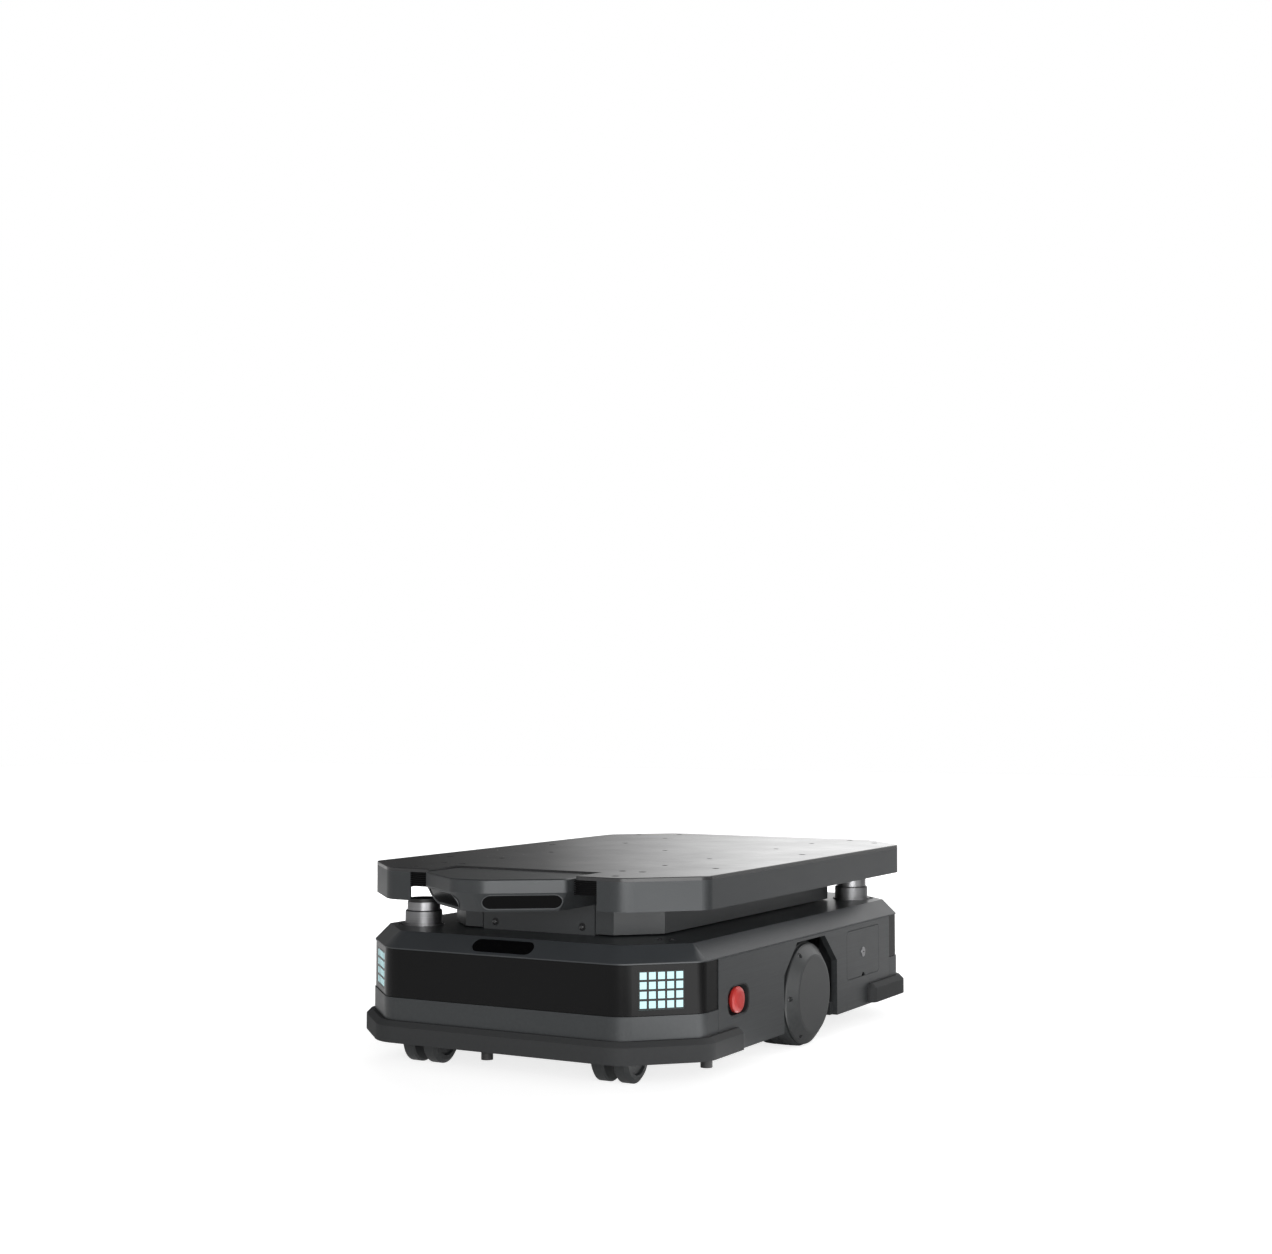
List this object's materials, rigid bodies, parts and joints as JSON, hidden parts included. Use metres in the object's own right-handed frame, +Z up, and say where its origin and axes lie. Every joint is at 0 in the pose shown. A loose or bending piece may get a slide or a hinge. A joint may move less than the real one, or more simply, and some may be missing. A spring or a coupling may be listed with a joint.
{
  "type": "autonomous mobile robot",
  "caption": "Low octagonal wheeled transport robot with a lifting load platform, camera pod, corner lights, bumpers, spring-loaded drive wheels and swivel casters.",
  "frame": {"origin": "on the floor midway between the two drive wheels", "axes": "+X to the right seen from the front, -Y out of the front (the camera pod's side), +Z up"},
  "size_m": [0.654, 1.105, 0.32],
  "materials": {
    "body_paint": "satin",
    "deck_paint": "semi-gloss",
    "platform_paint": "satin",
    "band_gloss": "gloss",
    "bumper_rubber": "matte",
    "signal_light": "gloss",
    "black_plastic": "matte",
    "window_dark": "gloss",
    "frame_steel": "satin",
    "column_steel": "satin",
    "ram_steel": "polished",
    "case_plastic": "matte",
    "heat_sink": "satin",
    "contact_copper": "satin",
    "spring_steel": "satin",
    "arm_iron": "matte",
    "wheel_tyre": "matte",
    "hub_alloy": "satin",
    "cover_grey": "semi-gloss",
    "caster_tread": "matte",
    "stop_red": "satin",
    "lock_metal": "polished"
  },
  "bodies": {
    "base": {"chassis_frame": "frame_steel", "floor_plate": "frame_steel", "caster_plates": "frame_steel", "service_bays": "frame_steel", "deck_cover": "deck_paint", "shoulder_window": "window_dark", "camera_window_right": "window_dark", "camera_window_left": "window_dark", "side_panel_right": "body_paint", "side_panel_left": "body_paint", "front_apron": "body_paint", "rear_apron": "body_paint", "front_band": "band_gloss", "rear_band": "band_gloss", "front_bumper": "bumper_rubber", "rear_bumper": "bumper_rubber", "corner_light_lenses": "signal_light", "estop_housing_right": "black_plastic", "estop_housing_left": "black_plastic", "safety_scanners": "black_plastic", "cliff_sensors": "black_plastic", "corner_light_plates": "black_plastic", "battery_pack": "case_plastic", "control_unit": "heat_sink", "depth_cameras": "heat_sink", "charge_contacts": "contact_copper", "lift_columns": "column_steel", "sensor_pod": "platform_paint", "sensor_pedestal": "frame_steel", "suspension_spring_right": "spring_steel", "suspension_spring_left": "spring_steel"},
    "platform": {"load_plate": "platform_paint", "platform_skirt": "platform_paint", "skirt_grilles": "black_plastic", "lift_underframe": "frame_steel", "lift_rams": "ram_steel", "ram_brackets": "frame_steel"},
    "swing_arm_right": {"swing_arm_right": "arm_iron"},
    "drive_wheel_right": {"drive_tyre_right": "wheel_tyre", "hub_motor_right": "hub_alloy", "hub_cover_right": "cover_grey"},
    "estop_right": {"estop_button_right": "stop_red"},
    "door_right": {"access_door_right": "body_paint"},
    "lock_right": {"door_lock_right": "lock_metal"},
    "swing_arm_left": {"swing_arm_left": "arm_iron"},
    "drive_wheel_left": {"drive_tyre_left": "wheel_tyre", "hub_motor_left": "hub_alloy", "hub_cover_left": "cover_grey"},
    "estop_left": {"estop_button_left": "stop_red"},
    "door_left": {"access_door_left": "body_paint"},
    "lock_left": {"door_lock_left": "lock_metal"},
    "caster_front_left": {"caster_fork_front_left": "arm_iron"},
    "caster_wheel_front_left": {"caster_wheel_front_left": "caster_tread"},
    "caster_front_right": {"caster_fork_front_right": "arm_iron"},
    "caster_wheel_front_right": {"caster_wheel_front_right": "caster_tread"},
    "caster_rear_left": {"caster_fork_rear_left": "arm_iron"},
    "caster_wheel_rear_left": {"caster_wheel_rear_left": "caster_tread"},
    "caster_rear_right": {"caster_fork_rear_right": "arm_iron"},
    "caster_wheel_rear_right": {"caster_wheel_rear_right": "caster_tread"}
  },
  "joints": [
    {"name": "platform_lift", "type": "slide", "parent": "base", "child": "platform", "axis": [0, 0, 1], "range_m": [0, 0.06]},
    {"name": "arm_swing_right", "type": "hinge", "parent": "base", "child": "swing_arm_right", "pos_m": [0.213, 0.125, 0.09], "axis": [1, 0, 0], "range_deg": [-2.5, 2.5], "stiffness_Nm_per_rad": 400, "deforming": ["suspension_spring_right"]},
    {"name": "wheel_spin_right", "type": "hinge", "parent": "swing_arm_right", "child": "drive_wheel_right", "pos_m": [0.265, 0, 0.09], "axis": [1, 0, 0], "continuous": true},
    {"name": "estop_press_right", "type": "slide", "parent": "base", "child": "estop_right", "axis": [-1, 0, 0], "range_m": [0, 0.005], "stiffness_N_per_m": 2500},
    {"name": "door_swing_right", "type": "hinge", "parent": "base", "child": "door_right", "pos_m": [0.3115, 0.2335, 0.169], "axis": [0, -1, 0], "range_deg": [0, 95]},
    {"name": "lock_turn_right", "type": "hinge", "parent": "door_right", "child": "lock_right", "pos_m": [0.31, 0.2335, 0.1355], "axis": [1, 0, 0], "range_deg": [0, 90]},
    {"name": "arm_swing_left", "type": "hinge", "parent": "base", "child": "swing_arm_left", "pos_m": [-0.213, 0.125, 0.09], "axis": [1, 0, 0], "range_deg": [-2.5, 2.5], "stiffness_Nm_per_rad": 400, "deforming": ["suspension_spring_left"]},
    {"name": "wheel_spin_left", "type": "hinge", "parent": "swing_arm_left", "child": "drive_wheel_left", "pos_m": [-0.265, 0, 0.09], "axis": [1, 0, 0], "continuous": true},
    {"name": "estop_press_left", "type": "slide", "parent": "base", "child": "estop_left", "axis": [1, 0, 0], "range_m": [0, 0.005], "stiffness_N_per_m": 2500},
    {"name": "door_swing_left", "type": "hinge", "parent": "base", "child": "door_left", "pos_m": [-0.3115, 0.2335, 0.169], "axis": [0, 1, 0], "range_deg": [0, 95]},
    {"name": "lock_turn_left", "type": "hinge", "parent": "door_left", "child": "lock_left", "pos_m": [-0.31, 0.2335, 0.1355], "axis": [1, 0, 0], "range_deg": [0, 90]},
    {"name": "swivel_front_left", "type": "hinge", "parent": "base", "child": "caster_front_left", "pos_m": [-0.178, -0.401, 0.09], "axis": [0, 0, 1], "continuous": true},
    {"name": "roll_front_left", "type": "hinge", "parent": "caster_front_left", "child": "caster_wheel_front_left", "pos_m": [-0.178, -0.429, 0.0375], "axis": [1, 0, 0], "continuous": true},
    {"name": "swivel_front_right", "type": "hinge", "parent": "base", "child": "caster_front_right", "pos_m": [0.178, -0.401, 0.09], "axis": [0, 0, 1], "continuous": true},
    {"name": "roll_front_right", "type": "hinge", "parent": "caster_front_right", "child": "caster_wheel_front_right", "pos_m": [0.178, -0.429, 0.0375], "axis": [1, 0, 0], "continuous": true},
    {"name": "swivel_rear_left", "type": "hinge", "parent": "base", "child": "caster_rear_left", "pos_m": [-0.178, 0.401, 0.09], "axis": [0, 0, 1], "continuous": true},
    {"name": "roll_rear_left", "type": "hinge", "parent": "caster_rear_left", "child": "caster_wheel_rear_left", "pos_m": [-0.178, 0.373, 0.0375], "axis": [1, 0, 0], "continuous": true},
    {"name": "swivel_rear_right", "type": "hinge", "parent": "base", "child": "caster_rear_right", "pos_m": [0.178, 0.401, 0.09], "axis": [0, 0, 1], "continuous": true},
    {"name": "roll_rear_right", "type": "hinge", "parent": "caster_rear_right", "child": "caster_wheel_rear_right", "pos_m": [0.178, 0.373, 0.0375], "axis": [1, 0, 0], "continuous": true}
  ]
}
